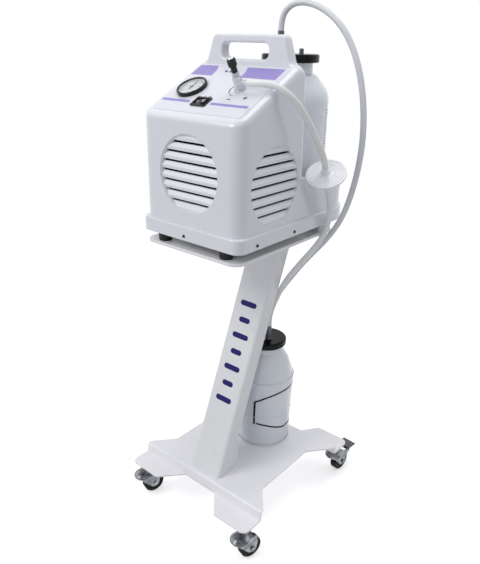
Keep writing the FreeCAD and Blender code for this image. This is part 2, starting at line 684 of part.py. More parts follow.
def motor_mounts():
    pads = []
    for x in (-48, 13):
        for y in (MOTOR_AXIS_Y - 27, MOTOR_AXIS_Y + 27):
            pads.append(turned([(0, PAN_BOTTOM + 3.5, 0), (10, PAN_BOTTOM + 3.5, 1), (7, 659, 2),
                                (10, 668, 1), (0, 668, 0)], x, y))
    return pads


def inlet_hole():
    return box(-BODY_HALF - 10, -BODY_HALF + 10, 84, 112, 842, 862)


def power_inlet():
    """Three-pin inlet set in the left wall."""
    face_x = -BODY_HALF
    flange = box(face_x - 2.5, face_x, 77, 119, 838, 866)
    body = box(face_x - 1, face_x + 24, 84.3, 111.7, 842.3, 861.7)
    well = box(face_x - 5, face_x + 15, 86.5, 109.5, 844, 860)
    pins = [box(face_x + 1, face_x + 18, y - 1, y + 1, z, z + 4) for y, z in ((91, 848), (98, 853), (105, 848))]
    return flange.fuse(body).cut(well).fuse(pins).removeSplitter()


def fuse_holder():
    x = -BODY_HALF
    return cylinder(8, (x - 7, 98, 886), (x, 98, 886)).cut(box(x - 8, x - 5.5, 93, 103, 885, 887))


# ---------- jars ----------

def jar(outer, wall, x, y):
    """Bottle turned from its outer profile (radius, z, corner), hollow and open at the neck."""
    solid = turned([(0, outer[0][1], 0)] + outer + [(0, outer[-1][1], 0)], x, y)
    inner = [(r - wall, z, max(c - wall / 2, 0)) for r, z, c in outer]
    inner[0] = (inner[0][0], inner[0][1] + wall, inner[0][2])
    top = outer[-1][1] + 5
    inner[-1] = (inner[-1][0], top, 0)
    hollow = turned([(0, inner[0][1], 0)] + inner + [(0, top, 0)], x, y)
    return solid.cut(hollow)


def upper_jar():
    floor = BAY_FLOOR
    outer = [(80, floor, 8), (82, floor + 14, 4), (82, 900, 44), (56, 934, 14), (46, 938, 3), (46, 958, 0)]
    return jar(outer, 2.5, *UPPER_JAR_AT)


def upper_jar_cap():
    x, y = UPPER_JAR_AT
    disc = turned([(0, 958, 0), (58, 958, 2), (58, 974, 4), (0, 974, 0)], x, y)
    ring = turned([(39, 950, 0), (43.2, 950, 0), (43.2, 958.5, 0), (39, 958.5, 0)], x, y)
    holes = [cylinder(4, (x + s * SPOUT_SPACING, y, 940), (x + s * SPOUT_SPACING, y, 980)) for s in (-1, 1)]
    return disc.fuse(ring).cut(Part.makeCompound(holes)).removeSplitter()


def upper_jar_stopper():
    x, y = UPPER_JAR_AT
    return turned([(0, 925, 0), (20, 925, 3), (30, 944, 2), (38.5, 946, 1), (38.5, 957.6, 0), (0, 957.6, 0)], x, y)


def upper_jar_spouts():
    x, y = UPPER_JAR_AT
    patient = cylinder(4.5, (x + SPOUT_SPACING, y, 974), (x + SPOUT_SPACING, y, 984))
    patient = patient.fuse(cylinder(3.9, (x + SPOUT_SPACING, y, 959), (x + SPOUT_SPACING, y, 974.5)))
    link = turned([(0, 974, 0), (8, 974, 1), (8, 978, 1), (6.6, 980, 1), (6.6, 1016, 0.5), (0, 1016, 0)],
                  x - SPOUT_SPACING, y)
    link = link.fuse(cylinder(3.9, (x - SPOUT_SPACING, y, 959), (x - SPOUT_SPACING, y, 975)))
    bores = [cylinder(2.6, (x + SPOUT_SPACING, y, 950), (x + SPOUT_SPACING, y, 1030)),
             cylinder(2.6, (x - SPOUT_SPACING, y, 950), (x - SPOUT_SPACING, y, 1030))]
    return [patient.cut(bores[0]).removeSplitter(), link.cut(bores[1]).removeSplitter()]


def lower_jar():
    outer = [(62, BASE_TOP, 6), (64, BASE_TOP + 14, 6), (69, 258, 24), (56, 300, 24), (43, 321, 5),
             (40, 326, 3), (40, LOWER_CAP, 0)]
    return jar(outer, 2.5, *LOWER_JAR_AT)


def lower_spout_places():
    x, y = LOWER_JAR_AT
    return {"filter": (x + 13, y - 8), "link": (x - 9, y + 18)}


def lower_jar_cap():
    x, y = LOWER_JAR_AT
    base = LOWER_CAP
    top = base + 15
    disc = turned([(0, base, 0), (47, base, 2), (47, top, 4), (0, top, 0)], x, y)
    ring = turned([(32, base - 8, 0), (37.2, base - 8, 0), (37.2, base + 0.5, 0), (32, base + 0.5, 0)], x, y)
    boss = turned([(0, top - 1, 0), (11, top - 1, 0), (11, top + 7, 1), (9.5, top + 9, 1), (0, top + 9, 0)],
                  x + 3, y - 25)
    holes = [cylinder(4, (a, b, base - 15), (a, b, top + 10)) for a, b in lower_spout_places().values()]
    return disc.fuse([ring, boss]).cut(Part.makeCompound(holes)).removeSplitter()


def lower_jar_spouts():
    spouts = []
    foot = LOWER_CAP + 15
    for a, b in lower_spout_places().values():
        spout = turned([(0, foot, 0), (7, foot, 1), (7, foot + 3, 1), (6, foot + 5, 0.5), (6, SPOUT_TOP, 0.5),
                        (0, SPOUT_TOP, 0)], a, b)
        spout = spout.fuse(cylinder(3.9, (a, b, foot - 13), (a, b, foot + 1)))
        spouts.append(spout.cut(cylinder(2.6, (a, b, foot - 20), (a, b, SPOUT_TOP + 5))).removeSplitter())
    return spouts


def jar_clip():
    """Low ring on the base plate that keeps the lower jar in its place."""
    x, y = LOWER_JAR_AT
    inner = [(62.6, BASE_TOP, 0), (65.4, BASE_TOP, 0)]
    return turned(inner + [(65.4, BASE_TOP + 5, 1), (63.6, BASE_TOP + 5, 0)], x, y)


# ---------- disc filter ----------

def filter_half(side):
    """Shallow ribbed dish with a boss and a nipple; side is +1 above and -1 below."""
    profile = [(0, 0.05, 0), (FILTER_RADIUS, 0.05, 0), (FILTER_RADIUS, 2.2, 1), (FILTER_RADIUS - 5, 3, 1),
               (10, 5, 2), (8, 9, 1), (5.9, 11, 0.5), (5.9, 15, 0.5), (0, 15, 0)]
    dish = turned(profile)
    for radius in (14, 19, 24, 29, 34):
        dish = dish.fuse(Part.makeTorus(radius, 0.8, Vector(0, 0, 5.5 - 0.075 * radius)))
    dish = dish.cut(cylinder(2.6, (0, 0, -1), (0, 0, 30)))
    normal = Vector(FILTER_NORMAL).normalize() * side
    return aligned(dish.removeSplitter(), FILTER_AT, normal)


# ---------- hoses ----------

def hose(name, points):
    """Tube of straight runs joined by tangent arcs; prints its radii, length and volume."""
    points = [Vector(*p) for p in points]
    edges = []
    length = 0
    here = points[0]
    radii = []
    for before, corner, after in zip(points, points[1:], points[2:]):
        back = before - corner
        on = after - corner
        turn = math.pi - back.getAngle(on)
        radius = 0.45 * min(back.Length, on.Length) / math.tan(turn / 2)
        reach = radius * math.tan(turn / 2)
        radii.append(round(radius))
        back.normalize()
        on.normalize()
        start = corner + back * reach
        end = corner + on * reach
        inward = (back + on).normalize()
        middle = corner + inward * (radius / math.cos(turn / 2) - radius)
        edges.append(Part.LineSegment(here, start).toShape())
        edges.append(Part.Arc(start, middle, end).toShape())
        length += (start - here).Length + radius * turn
        here = end
    edges.append(Part.LineSegment(here, points[-1]).toShape())
    length += (points[-1] - here).Length
    section = Part.Wire(Part.makeCircle(HOSE_RADIUS, points[0], points[1] - points[0]))
    tube = Part.Wire(edges).makePipeShell([section], True, False)
    expected = math.pi * HOSE_RADIUS ** 2 * length
    print(name, "radii", radii, "length %.0f" % length, "volume ratio %.4f" % (tube.Volume / expected))
    return tube


def hose_points():
    """Each hose starts and ends straight out of its fitting."""
    lead = 18
    normal = Vector(FILTER_NORMAL).normalize()
    barb = panel_point(REGULATOR_AT[0] + 22, REGULATOR_AT[1], REGULATOR_BARB_UP)
    top = FILTER_AT + normal * 15
    under = FILTER_AT - normal * 15
    to_filter = [barb, barb + Vector(lead - 1, 0, 0), (104, 46, 930), (120, 52, 927), (134, 62, 919),
                 (144, 75, 906), (150, 92, 887), (154, 111, 864), (157, 130, 838), (161, 146, 813),
                 top + normal * lead, top]
    jar_x, jar_y = lower_spout_places()["filter"]
    to_jar = [under, under - normal * lead, (150, 207, 708), (145, 218, 675), (137, 225, 643),
              (124, 223, 612), (106, 219, 585), (86, 216, 558), (66, 210, 528), (50, 205, 500),
              (38, 203, 471), (28, 201, 444), (21.5, 201.5, 424), (jar_x, jar_y, SPOUT_TOP + lead),
              (jar_x, jar_y, SPOUT_TOP)]
    x, y = UPPER_JAR_AT
    x -= SPOUT_SPACING
    end_x, end_y = lower_spout_places()["link"]
    link = [(x, y, 1016), (x, y, 1037.5), (-7.2, 250, 1056.1), (11.4, 252, 1066.8), (39, 255, 1066.8),
            (68, 256, 1058), (97, 256, 1042), (124, 256, 1018), (146, 256, 986), (162, 256, 950),
            (173, 256, 912), (180, 256, 873), (184, 255, 830), (182, 255, 785), (176, 255, 742),
            (167, 255, 703), (155.5, 255, 668), (139, 255, 635), (117, 254, 603), (92, 252, 572),
            (68, 248, 541), (48, 244, 511), (30, 239, 482), (15, 233, 455), (4, 228, 430),
            (end_x, end_y, SPOUT_TOP + lead), (end_x, end_y, SPOUT_TOP)]
    return {"hose_regulator_filter": to_filter, "hose_filter_jar": to_jar, "hose_jar_link": link}


def main():
    os.makedirs("parts", exist_ok=True)
    save("base_plate", base_plate())
    save("column", column())
    save("column_bolts", *bolts(column_foot_bolts(), BASE_TOP + 3, BASE_TOP - BASE_SHEET, True))
    save("tray", tray())
    save("tray_bolts", *bolts(column_head_bolts(), TRAY_TOP, TRAY_BOTTOM - 3, True))
    save_casters()
    save("casing", casing())
    for name, (centre, out) in louvre_places().items():
        save(name, louvre(centre, out))
    save("chassis_pan", chassis_pan())
    save("rubber_feet", *rubber_feet())
    save("casing_screws", *casing_screws())
    save("control_panel", control_panel())
    save("gauge_case", gauge_case())
    save("gauge_dial", gauge_dial())
    save("gauge_pointer", gauge_pointer())
    save("gauge_window", gauge_window())
    save("switch_frame", switch_frame())
    save("switch_rocker", switch_rocker())
    save("regulator_body", regulator_body())
    save("regulator_knob", regulator_knob())
    save("motor_case", motor_case())
    save("motor_rotor", motor_rotor())
    save("motor_fan", motor_fan())
    save("pump_head", pump_head())
    save("motor_mounts", *motor_mounts())
    save("power_inlet", power_inlet())
    save("fuse_holder", fuse_holder())
    save("upper_jar", upper_jar())
    save("upper_jar_cap", upper_jar_cap())
    save("upper_jar_stopper", upper_jar_stopper())
    save("upper_jar_spouts", *upper_jar_spouts())
    save("lower_jar", lower_jar())
    save("lower_jar_cap", lower_jar_cap())
    save("lower_jar_spouts", *lower_jar_spouts())
    save("jar_clip", jar_clip())
    save("filter_top", filter_half(1))
    save("filter_bottom", filter_half(-1))
    for name, points in hose_points().items():
        save(name, hose(name, points))


main()
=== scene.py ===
import json
import math

import bpy
from mathutils import Matrix, Vector


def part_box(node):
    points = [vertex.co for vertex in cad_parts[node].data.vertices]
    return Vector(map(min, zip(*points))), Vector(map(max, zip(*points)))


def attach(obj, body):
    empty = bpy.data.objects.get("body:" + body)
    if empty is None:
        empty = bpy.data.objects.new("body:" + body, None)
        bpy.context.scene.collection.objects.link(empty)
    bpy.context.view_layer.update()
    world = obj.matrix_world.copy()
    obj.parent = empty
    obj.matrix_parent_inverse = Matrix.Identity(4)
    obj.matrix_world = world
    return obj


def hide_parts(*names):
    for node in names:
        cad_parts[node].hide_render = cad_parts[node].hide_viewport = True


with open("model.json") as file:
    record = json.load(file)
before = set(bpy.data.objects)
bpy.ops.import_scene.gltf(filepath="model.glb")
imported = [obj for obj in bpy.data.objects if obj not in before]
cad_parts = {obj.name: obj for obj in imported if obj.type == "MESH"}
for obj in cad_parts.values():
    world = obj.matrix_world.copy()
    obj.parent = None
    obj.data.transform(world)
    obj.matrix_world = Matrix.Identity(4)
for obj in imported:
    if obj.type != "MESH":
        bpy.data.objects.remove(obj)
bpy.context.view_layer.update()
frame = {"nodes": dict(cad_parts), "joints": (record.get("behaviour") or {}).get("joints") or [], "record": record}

# Suction pump on a wheeled stand. Metres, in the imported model's frame: +Z up, the front faces -Y.
MM = 0.001
NODES = frame["nodes"]
JOINTS = {joint["name"]: joint for joint in frame["joints"]}

# HOME is the working origin: the stand's centre plane, the front of the column's foot, and BASE_TOP metres
# below the top of the base plate. Sizes and places are in millimetres from there, unless they say metres.
BASE_TOP = 0.085
PLATE_LOW, PLATE_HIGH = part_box("base_plate")
HOME = Vector(((PLATE_LOW.x + PLATE_HIGH.x) / 2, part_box("column")[0].y, PLATE_HIGH.z - BASE_TOP))

# The sloped control panel: its axes come from the gauge's joint, which stands on it at GAUGE_AT.
NORMAL = Vector(JOINTS["gauge_needle"]["axis"]).normalized()
ACROSS = Vector((1, 0, 0))
UPHILL = NORMAL.cross(ACROSS)
GAUGE_PIVOT = Vector(JOINTS["gauge_needle"]["pos_m"])
GAUGE_AT = (-63, 85)
GAUGE_PIVOT_OUT = 3.5
SWITCH_AT = (-8, 46)
REGULATOR_AT = (47, 94)

# Prints: top and bottom of the ink, out from the casing's face, on the overlay and on the gauge's dial
PRINT_TOP, PRINT_BOTTOM = 0.75, 0.62
DIAL_PRINT_TOP, DIAL_PRINT_BOTTOM = 2.93, 2.83

# Column front: how far back it leans for each millimetre of height
COLUMN_LEAN = 0.395
COLUMN_UPHILL = Vector((0, COLUMN_LEAN, 1)).normalized()
COLUMN_NORMAL = Vector((0, -1, COLUMN_LEAN)).normalized()

# Jars: centre, the wall's outer radius, which for the lower jar is given at two heights as (radius, height),
# and the heights of the moulded lines round the wall
UPPER_JAR_AT = (8, 249)
LOWER_JAR_AT = (6, 208)
LOWER_WALL = ((64, 99), (69, 258))
LOWER_LINES = (113, 170, 262)
UPPER_WALL_RADIUS = 82
UPPER_LINES = (700, 860)

# Cords: the hose's diameter in metres, the regulator's barb, from the stem and over the casing's face, and
# the filter with the reach of its spouts. A lead is the straight start of a hose.
HOSE_DIAMETER = 0.012
BARB_REACH = 22
BARB_OUT = 15
BARB_LEAD = 17
FILTER_AT = Vector((158, 173, 765))
FILTER_NORMAL = Vector((0.151, -0.513, 0.855)).normalized()
FILTER_REACH = 15
FILTER_LEAD = 18

# Camera: place, angles in degrees, focal length and sensor width
CAMERA_AT = (749.5, -788, 1000)
CAMERA_YAW = 39.71
CAMERA_PITCH = 22.33
CAMERA_ROLL = -1.158
CAMERA_LENS = 37.84
CAMERA_SENSOR = 36


def home(x, y, z):
    """Millimetres from the working origin to a place in metres."""
    return HOME + Vector((x, y, z)) * MM


def on_panel(across, up, out):
    """Millimetres across, up the slope and out of the control panel to a place in metres."""
    return (GAUGE_PIVOT + ACROSS * (across - GAUGE_AT[0]) * MM + UPHILL * (up - GAUGE_AT[1]) * MM
            + NORMAL * (out - GAUGE_PIVOT_OUT) * MM)


# ---------- camera ----------

def add_camera():
    yaw, pitch, roll = (math.radians(angle) for angle in (CAMERA_YAW, CAMERA_PITCH, CAMERA_ROLL))
    forward = Vector((-math.sin(yaw) * math.cos(pitch), math.cos(yaw) * math.cos(pitch), -math.sin(pitch)))
    right = Vector((math.cos(yaw), math.sin(yaw), 0))
    down = forward.cross(right)
    rolled_right = right * math.cos(roll) + down * math.sin(roll)
    rolled_down = down * math.cos(roll) - right * math.sin(roll)
    data = bpy.data.cameras.new("camera")
    data.lens = CAMERA_LENS
    data.sensor_width = CAMERA_SENSOR
    camera = bpy.data.objects.new("camera", data)
    turn = Matrix((rolled_right, -rolled_down, -forward)).transposed()
    camera.matrix_world = Matrix.Translation(home(*CAMERA_AT)) @ turn.to_4x4()
    bpy.context.scene.collection.objects.link(camera)
    bpy.context.scene.camera = camera


# ---------- materials ----------

class Look:
    """A procedural material: a Principled shader with its colour, roughness and bump made from noise."""

    def __init__(self, name, **constants):
        self.material = bpy.data.materials.new(name)
        self.material.use_nodes = True
        self.nodes = self.material.node_tree.nodes
        self.links = self.material.node_tree.links
        self.shader = self.nodes["Principled BSDF"]
        self.place = self.nodes.new("ShaderNodeTexCoord").outputs["Object"]
        for key, value in constants.items():
            self.shader.inputs[key.replace("_", " ")].default_value = value

    def noise(self, scale, detail=3.0, roughness=0.55, stretch=None):
        """Noise over the surface; scale is in cells per metre."""
        node = self.nodes.new("ShaderNodeTexNoise")
        node.inputs["Scale"].default_value = scale
        node.inputs["Detail"].default_value = detail
        node.inputs["Roughness"].default_value = roughness
        source = self.place
        if stretch:
            mapping = self.nodes.new("ShaderNodeMapping")
            mapping.inputs["Scale"].default_value = stretch
            self.links.new(self.place, mapping.inputs["Vector"])
            source = mapping.outputs["Vector"]
        self.links.new(source, node.inputs["Vector"])
        return node.outputs["Fac"]

    def ramp(self, source, *stops):
        """Colour ramp through (position, colour or grey) stops."""
        node = self.nodes.new("ShaderNodeValToRGB")
        elements = node.color_ramp.elements
        while len(elements) < len(stops):
            elements.new(0.5)
        for element, (position, colour) in zip(elements, stops):
            element.position = position
            element.color = (*colour, 1) if isinstance(colour, tuple) else (colour, colour, colour, 1)
        self.links.new(source, node.inputs["Fac"])
        return node.outputs["Color"]

    def mix(self, factor, first, second):
        """Mix two colours; each is an output or a colour."""
        node = self.nodes.new("ShaderNodeMix")
        node.data_type = "RGBA"
        self.links.new(factor, node.inputs["Factor"])
        for value, socket in ((first, node.inputs["A"]), (second, node.inputs["B"])):
            if isinstance(value, tuple):
                socket.default_value = (*value, 1)
            else:
                self.links.new(value, socket)
        return node.outputs["Result"]

    def colour(self, source):
        """Base colour from an output."""
        self.links.new(source, self.shader.inputs["Base Color"])
        return self

    def rough(self, low, high, scale):
        """Roughness that wanders between low and high."""
        node = self.nodes.new("ShaderNodeMapRange")
        node.inputs["From Min"].default_value = 0.3
        node.inputs["From Max"].default_value = 0.7
        node.inputs["To Min"].default_value = low
        node.inputs["To Max"].default_value = high
        self.links.new(self.noise(scale), node.inputs["Value"])
        self.links.new(node.outputs["Result"], self.shader.inputs["Roughness"])
        return self

    def bump(self, source, height, soft_edge=0.0):
        """Bump of a real height in metres, over edges rounded by soft_edge metres."""
        node = self.nodes.new("ShaderNodeBump")
        node.inputs["Strength"].default_value = 1.0
        node.inputs["Distance"].default_value = height
        self.links.new(source, node.inputs["Height"])
        if soft_edge:
            edge = self.nodes.new("ShaderNodeBevel")
            edge.samples = 4
            edge.inputs["Radius"].default_value = soft_edge
            self.links.new(edge.outputs["Normal"], node.inputs["Normal"])
        self.links.new(node.outputs["Normal"], self.shader.inputs["Normal"])
        return self


def tinted(look, colour, spread, scale):
    """Base colour that wanders a little in lightness about a colour."""
    dark = tuple(c * (1 - spread) for c in colour)
    light = tuple(min(1, c * (1 + spread)) for c in colour)
    return look.ramp(look.noise(scale), (0.35, dark), (0.65, light))


def moulded(name, colour, rough, grain=0.00003, soft_edge=0.0, spread=0.025, **constants):
    """Moulded plastic with a faint orange peel, slight tone changes and handling scuffs in its gloss."""
    look = Look(name, **constants)
    look.colour(tinted(look, colour, spread, 5))
    look.rough(rough - 0.03, rough + 0.05, 14)
    return look.bump(look.noise(260, 1), grain, soft_edge).material


def powder_coat(name, colour):
    """Powder-coated sheet with a few faint scuffs."""
    look = Look(name, Coat_Weight=0.25, Coat_Roughness=0.2)
    base = tinted(look, colour, 0.02, 6)
    scuffs = look.ramp(look.noise(70, 6, 0.7, (1, 1, 0.25)), (0.72, 0.0), (0.78, 0.2))
    dusty = look.mix(scuffs, base, (0.62, 0.62, 0.62))
    look.colour(dusty)
    look.rough(0.26, 0.42, 45)
    return look.bump(look.noise(420, 1), 0.00002, 0.001).material


def zinc():
    """Bright zinc plate with dull stains."""
    look = Look("zinc", Metallic=1.0)
    bright = look.ramp(look.noise(60, 2, 0.5), (0.40, (0.17, 0.18, 0.19)), (0.60, (0.34, 0.35, 0.37)))
    stains = look.ramp(look.noise(45, 5, 0.65), (0.55, 0.0), (0.70, 0.7))
    look.colour(look.mix(stains, bright, (0.12, 0.12, 0.12)))
    look.rough(0.12, 0.26, 120)
    return look.bump(look.noise(900, 3), 0.00004, 0.0006).material


def tyre():
    """Black rubber with some floor dust."""
    look = Look("tyre", Specular_IOR_Level=0.15)
    dust = look.ramp(look.noise(120, 5, 0.6), (0.45, (0.005, 0.005, 0.006)), (0.75, (0.03, 0.029, 0.028)))
    look.colour(dust)
    look.rough(0.45, 0.7, 90)
    return look.bump(look.noise(1100, 3), 0.0001, 0.0008).material


def polished_metal(name, colour, rough):
    """Turned or pressed metal with fine tool marks."""
    look = Look(name, Metallic=1.0)
    look.colour(tinted(look, colour, 0.08, 120))
    look.rough(rough - 0.06, rough + 0.1, 260)
    return look.bump(look.noise(1500, 2, 0.5), 0.00002, 0.0004).material


def frosted(name, colour, transmission, rough, spread, **constants):
    """Translucent moulded plastic: cloudy light through the wall, and a soft waviness."""
    look = Look(name, Transmission_Weight=transmission, IOR=1.42, **constants)
    look.colour(tinted(look, colour, spread, 18))
    look.rough(rough - 0.03, rough + 0.06, 12)
    return look.bump(look.noise(16, 1, 0.4), 0.0002).material


def clear_window():
    """The gauge's clear window, faintly smeared."""
    look = Look("clear_window", Transmission_Weight=1.0, IOR=1.46, Coat_Weight=0.4)
    look.colour(tinted(look, (0.97, 0.98, 1.0), 0.01, 60))
    look.rough(0.02, 0.07, 90)
    return look.bump(look.noise(300, 2), 0.000005).material


def printed(name, colour, rough=0.4):
    """Ink on film or paint: nearly even, with a fine screen grain."""
    look = Look(name, Specular_IOR_Level=0.2)
    look.colour(tinted(look, colour, 0.06, 500))
    look.rough(rough - 0.06, rough + 0.08, 140)
    return look.bump(look.noise(600, 1), 0.000003).material


def make_materials():
    """One material for each slot of the record."""
    return {
        "white_paint": powder_coat("powder_coat", (0.80, 0.81, 0.835)),
        "zinc": zinc(),
        "tread": tyre(),
        "pedal_grey": moulded("pedal_grey", (0.10, 0.105, 0.115), 0.5, 0.00002, 0.0008),
        "shell": moulded("shell", (0.725, 0.735, 0.79), 0.2, 0.000004, 0.002, 0.006, Coat_Weight=0.35,
                         Coat_Roughness=0.08),
        "louvre": moulded("louvre", (0.80, 0.81, 0.86), 0.3, 0.000003, 0.0006, 0.006, Coat_Weight=0.2),
        "pan": polished_metal("pan", (0.55, 0.55, 0.56), 0.35),
        "foot_rubber": moulded("foot_rubber", (0.008, 0.008, 0.011), 0.5, 0.00002, 0.0008,
                               Specular_IOR_Level=0.25),
        "screw_black": moulded("screw_black", (0.02, 0.02, 0.025), 0.35, 0.000005, 0.0003, Metallic=0.6),
        "overlay": moulded("overlay", (0.685, 0.695, 0.76), 0.22, 0.000003, 0.0, 0.006, Coat_Weight=0.3,
                           Coat_Roughness=0.1),
        "black_plastic": moulded("black_plastic", (0.005, 0.005, 0.008), 0.22, 0.000004, 0.0006, 0.2,
                                 Specular_IOR_Level=0.3),
        "dial_white": printed("dial_white", (0.80, 0.82, 0.86), 0.35),
        "needle_black": printed("needle_black", (0.01, 0.01, 0.012), 0.4),
        "window": clear_window(),
        "acrylic": frosted("acrylic", (0.80, 0.82, 0.87), 0.5, 0.08, 0.02, Coat_Weight=0.5),
        "steel": polished_metal("steel", (0.62, 0.63, 0.66), 0.16),
        "cast": polished_metal("cast", (0.5, 0.51, 0.53), 0.45),
        "jar_clear": frosted("jar_clear", (0.90, 0.935, 1.0), 0.2, 0.2, 0.008, Coat_Weight=0.4,
                             Coat_Roughness=0.08),
        "cap_black": moulded("cap_black", (0.003, 0.004, 0.006), 0.16, 0.000004, 0.001, 0.25,
                             Specular_IOR_Level=0.12),
        "spout": moulded("spout", (0.10, 0.12, 0.15), 0.3, 0.000004, 0.0005),
        "filter_white": frosted("filter_white", (0.95, 0.96, 0.99), 0.08, 0.2, 0.01, Coat_Weight=0.3),
        "hose": frosted("hose", (0.76, 0.78, 0.79), 0.04, 0.3, 0.02),
    }


MATERIALS = make_materials()
NAVY = printed("navy_ink", (0.014, 0.008, 0.14), 0.4)
VIOLET = printed("violet_ink", (0.31, 0.26, 0.58), 0.35)
GREY_INK = printed("grey_ink", (0.10, 0.11, 0.13), 0.4)
BLACK_INK = printed("black_ink", (0.006, 0.006, 0.009), 0.35)
PALE_HOSE = frosted("pale_hose", (0.83, 0.84, 0.84), 0.04, 0.28, 0.015)
BLUISH_HOSE = frosted("bluish_hose", (0.70, 0.72, 0.745), 0.04, 0.26, 0.015)
BRIGHT_METAL = polished_metal("bright_metal", (0.78, 0.79, 0.81), 0.14)
WHITE_INK = printed("white_ink", (0.82, 0.83, 0.85), 0.4)
PINK_RUBBER = moulded("pink_rubber", (0.42, 0.20, 0.16), 0.45, 0.00002)
# Painted light: a lighter copy of the stand's powder coat for the base plate, standing in for the light its upward
# face catches
LIT_BASE_PAINT = powder_coat("lit_base_paint", (0.90, 0.90, 0.93))
# Painted shade: matte black for the discs that darken the gaps behind the louvres' slats
PAINTED_SHADE_BLACK = moulded("painted_shade_black", (0.004, 0.004, 0.005), 0.9, 0.0003, Specular_IOR_Level=0.05)


def dress_nodes():
    """Every node takes its slot's material; the base plate takes a lighter copy of the stand's paint, painted
    light for its upward face.
    """
    for subpart in frame["record"]["subparts"]:
        node = NODES[subpart["node"]]
        paint = LIT_BASE_PAINT if subpart["node"] == "base_plate" else MATERIALS[subpart["material_slot"]]
        node.data.materials.clear()
        node.data.materials.append(paint)


# ---------- hoses ----------

def add_hose(node, points, material):
    """Soft tube on a smooth curve; points are in metres."""
    data = bpy.data.curves.new(node + "_tube", "CURVE")
    data.dimensions = "3D"
    data.bevel_depth = HOSE_DIAMETER / 2
    data.bevel_resolution = 7
    data.resolution_u = 10
    data.use_fill_caps = True
    spline = data.splines.new("NURBS")
    spline.points.add(len(points) - 1)
    for point, place in zip(spline.points, points):
        point.co = (*place, 1)
    spline.order_u = 3
    spline.use_endpoint_u = True
    data.materials.append(material)
    piece = bpy.data.objects.new(node + "_tube", data)
    bpy.context.scene.collection.objects.link(piece)
    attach(piece, "stand")
    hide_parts(node)


def add_hoses():
    """Regulator to filter, filter to lower jar, and the link from the upper jar to the lower one."""
    barb = on_panel(REGULATOR_AT[0] + BARB_REACH, REGULATOR_AT[1], BARB_OUT)
    above = home(*(FILTER_AT + FILTER_NORMAL * FILTER_REACH))
    below = home(*(FILTER_AT - FILTER_NORMAL * FILTER_REACH))
    lead = FILTER_NORMAL * FILTER_LEAD * MM
    to_filter = [barb, barb + ACROSS * BARB_LEAD * MM, home(104, 46, 930), home(120, 52, 927),
                 home(134, 62, 919), home(144, 75, 906), home(150, 92, 887), home(154, 111, 864),
                 home(157, 130, 838), home(161, 146, 813), above + lead, above]
    add_hose("hose_regulator_filter", to_filter, PALE_HOSE)
    to_jar = [below, below - lead, home(150, 207, 708), home(145, 218, 675), home(137, 225, 643),
              home(124, 223, 612), home(106, 219, 585), home(86, 216, 558), home(66, 210, 528),
              home(50, 205, 500), home(38, 203, 471), home(28, 201, 444), home(21.5, 201.5, 424),
              home(19, 200, 408), home(19, 200, 390)]
    add_hose("hose_filter_jar", to_jar, PALE_HOSE)
    link = [home(-18, 249, 1016), home(-18, 249, 1037.5), home(-7.2, 250, 1056.1), home(11.4, 252, 1066.8),
            home(39, 255, 1066.8), home(68, 256, 1058), home(97, 256, 1042), home(124, 256, 1018),
            home(146, 256, 986), home(162, 256, 950), home(173, 256, 912), home(180, 256, 873),
            home(184, 255, 830), home(182, 255, 785), home(176, 255, 742), home(167, 255, 703),
            home(155.5, 255, 668), home(139, 255, 635), home(117, 254, 603), home(92, 252, 572),
            home(68, 248, 541), home(48, 244, 511), home(30, 239, 482), home(15, 233, 455),
            home(4, 228, 430), home(-3, 226, 408), home(-3, 226, 390)]
    add_hose("hose_jar_link", link, BLUISH_HOSE)


# ---------- mesh helpers ----------

def add_piece(name, shape, material, body="stand", smooth=False):
    """Make a piece from (vertices, faces), give it a finish and let it ride on a body."""
    vertices, faces = shape
    mesh = bpy.data.meshes.new(name)
    mesh.from_pydata([tuple(v) for v in vertices], [], faces)
    mesh.validate()
    mesh.update()
    mesh.materials.append(material)
    mesh.polygons.foreach_set("use_smooth", [smooth] * len(mesh.polygons))
    piece = bpy.data.objects.new(name, mesh)
    bpy.context.scene.collection.objects.link(piece)
    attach(piece, body)


def sheet_solid(rows_outer, rows_inner):
    """Closed solid between two equal grids of points; returns vertices and faces."""
    rows, columns = len(rows_outer), len(rows_outer[0])
    vertices = [point for row in rows_outer + rows_inner for point in row]
    half = rows * columns
    faces = []
    for r in range(rows - 1):
        for c in range(columns - 1):
            a, b = r * columns + c, r * columns + c + 1
            d, e = a + columns, b + columns
            faces.append((a, b, e, d))
            faces.append((half + d, half + e, half + b, half + a))
    rim = (list(range(columns)) + [r * columns + columns - 1 for r in range(1, rows)]
           + [(rows - 1) * columns + c for c in reversed(range(columns - 1))]
           + [r * columns for r in reversed(range(1, rows - 1))])
    for i, a in enumerate(rim):
        b = rim[(i + 1) % len(rim)]
        faces.append((b, a, half + a, half + b))
    return vertices, faces


def panel_patch(left, right, low, high, top=PRINT_TOP, bottom=PRINT_BOTTOM, columns=12):
    """Printed area on the panel between two side curves; left and right give across for 0..1 up the patch."""
    rows = 8
    grids = []
    for out in (top, bottom):
        grid = []
        for r in range(rows + 1):
            up = low + (high - low) * r / rows
            a, b = left(r / rows), right(r / rows)
            grid.append([on_panel(a + (b - a) * c / columns, up, out) for c in range(columns + 1)])
        grids.append(grid)
    return sheet_solid(*grids)


def panel_arc(centre, r0, r1, start, end, top=PRINT_TOP, bottom=PRINT_BOTTOM, steps=24):
    """Arc band on the panel about centre, angles in degrees from across, turning towards up the slope."""
    grids = []
    for out in (top, bottom):
        grid = []
        for radius in (r0, r1):
            row = []
            for i in range(steps + 1):
                angle = math.radians(start + (end - start) * i / steps)
                row.append(on_panel(centre[0] + radius * math.cos(angle),
                                    centre[1] + radius * math.sin(angle), out))
            grid.append(row)
        grids.append(grid)
    return sheet_solid(*grids)


def joined(parts):
    """One vertex and face list from several."""
    vertices, faces = [], []
    for some_vertices, some_faces in parts:
        start = len(vertices)
        vertices += some_vertices
        faces += [tuple(start + i for i in face) for face in some_faces]
    return vertices, faces


